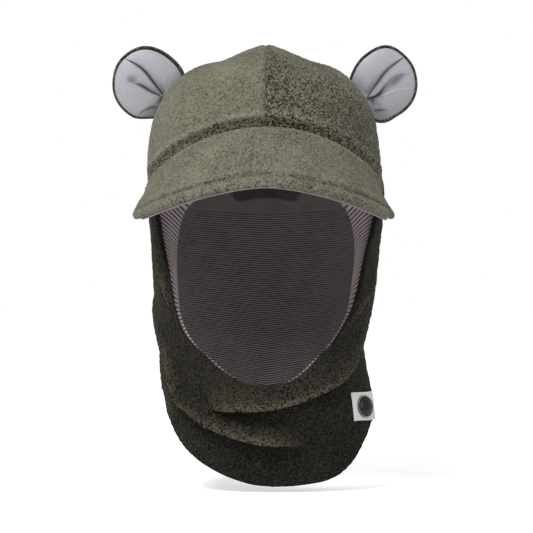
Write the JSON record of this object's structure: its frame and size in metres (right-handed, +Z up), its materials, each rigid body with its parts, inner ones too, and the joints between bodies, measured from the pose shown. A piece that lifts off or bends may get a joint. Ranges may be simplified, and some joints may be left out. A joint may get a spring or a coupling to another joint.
{
  "type": "balaclava",
  "caption": "Child's fleece balaclava with a stiffened peak, two padded ears that fold, a rib-knit lining and an oval face opening edged with elastic.",
  "frame": {"origin": "the point where the top of the wearer's head bears on the lining, on the middle plane", "axes": "+Z up, the face looks along -Y, +X is the wearer's left side"},
  "size_m": [0.22, 0.2296, 0.3093],
  "materials": {
    "crown_fleece": "brushed polyester fleece, grey-olive, napped",
    "hood_fleece": "brushed polyester fleece, dark brown-olive, napped",
    "rib_knit": "fine rib knit, mauve grey, matt",
    "brim_lining": "smooth jersey, mauve grey",
    "ear_satin": "smooth close weave with a soft sheen, cool grey",
    "wadding": "white polyester wadding",
    "stiffener": "plain plastic sheet",
    "elastic": "woven elastic tape",
    "label_cloth": "woven satin tape, off-white, with nothing printed on it",
    "badge": "glossy black dome with a plain rim"
  },
  "bodies": {
    "hood": {"crown_left": "crown_fleece", "crown_right": "crown_fleece", "hood_front": "hood_fleece", "hood_back": "hood_fleece", "lining_crown_left": "rib_knit", "lining_crown_right": "rib_knit", "lining_front": "rib_knit", "lining_back": "rib_knit", "face_cuff": "rib_knit", "face_elastic": "elastic", "side_label": "label_cloth", "label_badge": "badge", "care_label": "label_cloth"},
    "brim": {"brim_upper": "crown_fleece", "brim_stiffener": "stiffener", "brim_lower": "brim_lining"},
    "ear_left": {"ear_left_front": "ear_satin", "ear_left_wadding": "wadding", "ear_left_back": "crown_fleece"},
    "ear_right": {"ear_right_front": "ear_satin", "ear_right_wadding": "wadding", "ear_right_back": "crown_fleece"}
  },
  "joints": [
    {"name": "brim_tilt", "type": "hinge", "parent": "hood", "child": "brim", "pos_m": [0, -0.075, -0.065], "axis": [-1, 0, 0], "range_deg": [-3, 15], "stiffness_Nm_per_rad": 0.5},
    {"name": "ear_left_fold", "type": "hinge", "parent": "hood", "child": "ear_left", "pos_m": [0.07078, 0.00933, -0.02842], "axis": [0.6293, 0, -0.7771], "range_deg": [-45, 45], "stiffness_Nm_per_rad": 0.02},
    {"name": "ear_right_fold", "type": "hinge", "parent": "hood", "child": "ear_right", "pos_m": [-0.07078, 0.00933, -0.02842], "axis": [0.6293, 0, 0.7771], "range_deg": [-45, 45], "stiffness_Nm_per_rad": 0.02}
  ]
}
